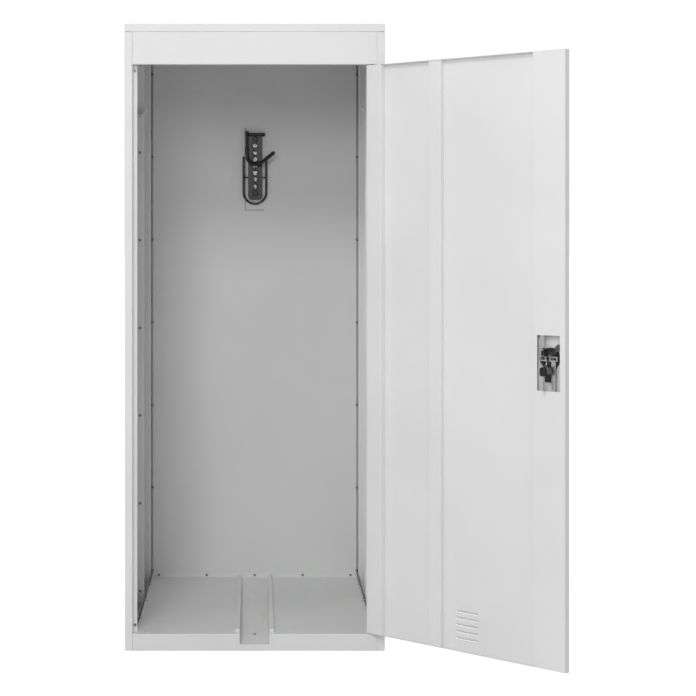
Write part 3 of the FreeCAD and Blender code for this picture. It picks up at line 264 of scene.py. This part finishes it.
FINISH_OF = {
    "back_panel": back_coat, "floor_pan": floor_coat, "wheel_channel": channel_coat,
    "channel_rail_left": channel_coat, "channel_rail_right": channel_coat,
    "door_skin": door_coat, "hinge_side_member": door_coat, "middle_member": door_coat,
    "lock_side_member": door_coat, "hook_backing_plate": plate_coat, "key_tag": key_plastic,
    "hook_strip": strip_coat, "hook_pivot": black_coat, "wheel_loop": vinyl, "hook_arm": black_coat,
    "hook_sleeve": vinyl, "lock_cup": nylon, "lock_handle": nylon, "key_barrel": cut_steel,
    "lock_cam": cast_zinc, "lock_case": case_plastic, "lock_block": nylon, "upper_rod": rolled,
    "lower_rod": rolled, "upper_rod_guide": nylon,
    "lower_rod_guide": nylon, "lower_hinge_washer": nylon, "key_ring": cut_steel,
    "key_bow_first": key_plastic, "key_bow_second": key_plastic, "key_blade_first": cut_steel,
    "key_blade_second": cut_steel, "key_peg": rolled, "upper_hinge_pin": zinc,
    "lower_hinge_pin": zinc, "upper_hinge_block": zinc, "lower_hinge_block": zinc,
    "hook_bolts": black_coat,
}
for name, node in nodes.items():
    finish = FINISH_OF.get(name, zinc if ("screws" in name or "bolts" in name) else body_coat)
    for material_slot in node.material_slots:
        material_slot.material = finish


# ---------------------------------------------------------------- screws

HEAD, HEAD_TALL, SHANK = 4.5, 2.4, 2.5


def screw_form(name, grip, nut):
    """A pan-head screw with a hexagon socket, turned about Z: its seat is at 0, its nut below."""
    profile = [(0, 0.7), (2.3, 0.8), (2.45, 2.3), (3.3, 2.15), (4.1, 1.5), (HEAD, 0.5), (HEAD, 0),
               (SHANK, 0), (SHANK, -grip), (4, -grip), (4, -grip - nut), (0, -grip - nut)]
    form = bmesh.new()
    rings = []
    for radius, height in profile:
        ring = []
        for i in range(24 if radius else 1):
            angle = math.tau * i / 24
            flat = math.cos(math.pi / 6) / math.cos(angle % (math.pi / 3) - math.pi / 6)
            reach = radius * (flat if 2 < radius < 2.4 else 1)
            ring.append(form.verts.new(Vector((reach * math.cos(angle), reach * math.sin(angle),
                                               height)) * MM))
        rings.append(ring)
    for above, below in zip(rings, rings[1:]):
        for i in range(24):
            j = (i + 1) % 24
            face = [above[i % len(above)], below[i % len(below)], below[j % len(below)],
                    above[j % len(above)]]
            form.faces.new(list(dict.fromkeys(face)))
    bmesh.ops.recalc_face_normals(form, faces=form.faces)
    mesh = bpy.data.meshes.new(name)
    form.to_mesh(mesh)
    form.free()
    return bpy.data.objects.new(name, mesh)


def seats_tree():
    """Sets a fastener on each seat point, turned the way that its head looks."""
    tree = bpy.data.node_groups.new("fasteners on seats", "GeometryNodeTree")
    for name, kind in (("Seats", "NodeSocketGeometry"), ("Fastener", "NodeSocketObject"),
                       ("Turn", "NodeSocketRotation"), ("Finish", "NodeSocketMaterial")):
        tree.interface.new_socket(name, in_out="INPUT", socket_type=kind)
    tree.interface.new_socket("Fasteners", in_out="OUTPUT", socket_type="NodeSocketGeometry")
    given = tree.nodes.new("NodeGroupInput").outputs
    form = add_node(tree, "GeometryNodeObjectInfo", {"Object": given["Fastener"]})
    placed = add_node(tree, "GeometryNodeInstanceOnPoints", {
        "Points": given["Seats"], "Instance": form.outputs["Geometry"], "Rotation": given["Turn"]})
    solid = add_node(tree, "GeometryNodeRealizeInstances", {"Geometry": placed.outputs[0]})
    coated = add_node(tree, "GeometryNodeSetMaterial", {
        "Geometry": solid.outputs[0], "Material": given["Finish"]})
    add_node(tree, "NodeGroupOutput", {"Fasteners": coated.outputs[0]})
    return tree


def grown(name, base, tree, inputs):
    """Run a node tree on a base object, and keep its result as a plain mesh."""
    scene.collection.objects.link(base)
    modifier = base.modifiers.new("grow", "NODES")
    modifier.node_group = tree
    for item in tree.interface.items_tree:
        if item.in_out == "INPUT" and item.name in inputs:
            modifier[item.identifier] = inputs[item.name]
    ready = base.evaluated_get(bpy.context.evaluated_depsgraph_get())
    mesh = bpy.data.meshes.new_from_object(ready)
    base.modifiers.remove(modifier)
    bpy.data.objects.remove(base)
    piece = bpy.data.objects.new(name, mesh)
    mesh.name = name
    scene.collection.objects.link(piece)
    return piece


def seats_of(node, out, rows):
    """Seat points of a CAD screw row: rows says how far along each axis each screw stands, 0 to 1."""
    low, high = (Vector(corner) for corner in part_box(node))
    axis = max(range(3), key=lambda k: abs(out[k]))
    pad = Vector([HEAD * MM] * 3)
    pad[axis] = 0
    low, high = low + pad, high - pad
    spots = []
    for share in rows:
        spot = Vector([low[k] + (high[k] - low[k]) * share[k] for k in range(3)])
        face = high[axis] if out[axis] > 0 else low[axis]
        spot[axis] = face - out[axis] * HEAD_TALL * MM
        spots.append(spot)
    return spots


def screws(name, spots, out, grip, nut, *stands_for):
    """One row of screws as a single mesh, in place of the plain CAD row."""
    form = screw_form(name + "_form", grip, nut)
    base = bpy.data.objects.new(name, bpy.data.meshes.new(name))
    base.data.from_pydata(spots, [], [])
    turn = Vector(out).to_track_quat("Z", "Y").to_euler()
    piece = grown(name, base, fasteners, {"Fastener": form, "Turn": turn, "Finish": zinc})
    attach(piece, "carcass")
    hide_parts(*stands_for)
    bpy.data.objects.remove(form)


fasteners = seats_tree()
FRONT = (0, -1, 0)
column = [(0.5, 0, i / 6) for i in range(7)]
for side, inward in (("left", 1), ("right", -1)):
    look = (inward, 0, 0)
    screws("joint_bolt_row_" + side, seats_of("joint_bolts_" + side, FRONT, column), FRONT, 2, 3,
           "joint_bolts_" + side)
    screws("back_screw_row_" + side,
           seats_of("back_screws_" + side, look, [(0, 0.5, i / 6) for i in range(7)]), look, 1, 6,
           "back_screws_" + side)
    screws("floor_screw_row_" + side,
           seats_of("floor_screws_" + side, look, [(0, i / 2, 0.5) for i in range(3)]), look, 1, 8,
           "floor_screws_" + side)
screws("stile_screw_set", seats_of("stile_screws", FRONT, [(x, 0, z) for x in (0, 1) for z in (0, 1)]),
       FRONT, 1, 3, "stile_screws")
screws("floor_back_screw_row",
       seats_of("floor_back_screws", FRONT, [(x, 0, 0.5) for x in (0, 0.25, 0.75, 1)]), FRONT, 2, 0.2,
       "floor_back_screws")


# ---------------------------------------------------------------- room and light

def floor_sheet():
    """A white studio floor, lit to pure white like the room behind it."""
    mesh = bpy.data.meshes.new("studio_floor")
    form = bmesh.new()
    bmesh.ops.create_grid(form, x_segments=1, y_segments=1, size=300)
    form.to_mesh(mesh)
    form.free()
    floor = bpy.data.objects.new("studio_floor", mesh)
    scene.collection.objects.link(floor)
    finish, tree, shader, place = new_finish("white studio floor", 0.9)
    shader.inputs["Base Color"].default_value = linear("E2E2E2")
    shader.inputs["Emission Color"].default_value = linear("FFFFFF")
    # pure white to the eye, while only a grey floor's light comes back up
    seen = add_node(tree, "ShaderNodeLightPath").outputs["Is Camera Ray"]
    glow = add_node(tree, "ShaderNodeMath", {0: seen, 1: 0.75}, operation="MULTIPLY")
    tree.links.new(glow.outputs[0], shader.inputs["Emission Strength"])
    mesh.materials.append(finish)


def softbox(name, spot, aim, width, height, power):
    """A rectangular studio light that looks at a point, with its power in watts."""
    lamp = bpy.data.lights.new(name, "AREA")
    lamp.shape = "RECTANGLE"
    lamp.size, lamp.size_y, lamp.energy = width, height, power
    holder = bpy.data.objects.new(name, lamp)
    scene.collection.objects.link(holder)
    holder.location = spot
    holder.rotation_euler = (Vector(aim) - Vector(spot)).to_track_quat("-Z", "Y").to_euler()
    return holder


# The high key reaches the floor of the cabinet, and the low key the back wall up to the hook.
floor_sheet()
world = bpy.data.worlds.new("studio")
scene.world = world
world.use_nodes = True
# a white room behind the cabinet, and in front of it one that darkens from left to right
tree = world.node_tree
away = add_node(tree, "ShaderNodeTexCoord").outputs["Generated"]
parts = add_node(tree, "ShaderNodeSeparateXYZ", {"Vector": away}).outputs
across = add_node(tree, "ShaderNodeMapRange", {
    "Value": parts["X"], "From Min": -1.0, "From Max": 1.0, "To Min": 0.72, "To Max": 0.24})
behind = add_node(tree, "ShaderNodeMapRange", {
    "Value": parts["Y"], "From Min": 0.0, "From Max": 0.5, "To Min": 0.0, "To Max": 1.0})
level = add_node(tree, "ShaderNodeMix", {0: behind.outputs[0], 2: across.outputs[0], 3: 1.0})
tree.nodes["Background"].inputs["Color"].default_value = linear("FFFFFF")
tree.links.new(level.outputs[0], tree.nodes["Background"].inputs["Strength"])
softbox("high key", (-1.0, -6.0, 5.0), (0.1, 0.2, 0.6), 1.8, 1.4, 104)
softbox("low key", (-0.8, -6.0, 2.7), (0.1, 0.4, 1.1), 1.6, 1.2, 50)
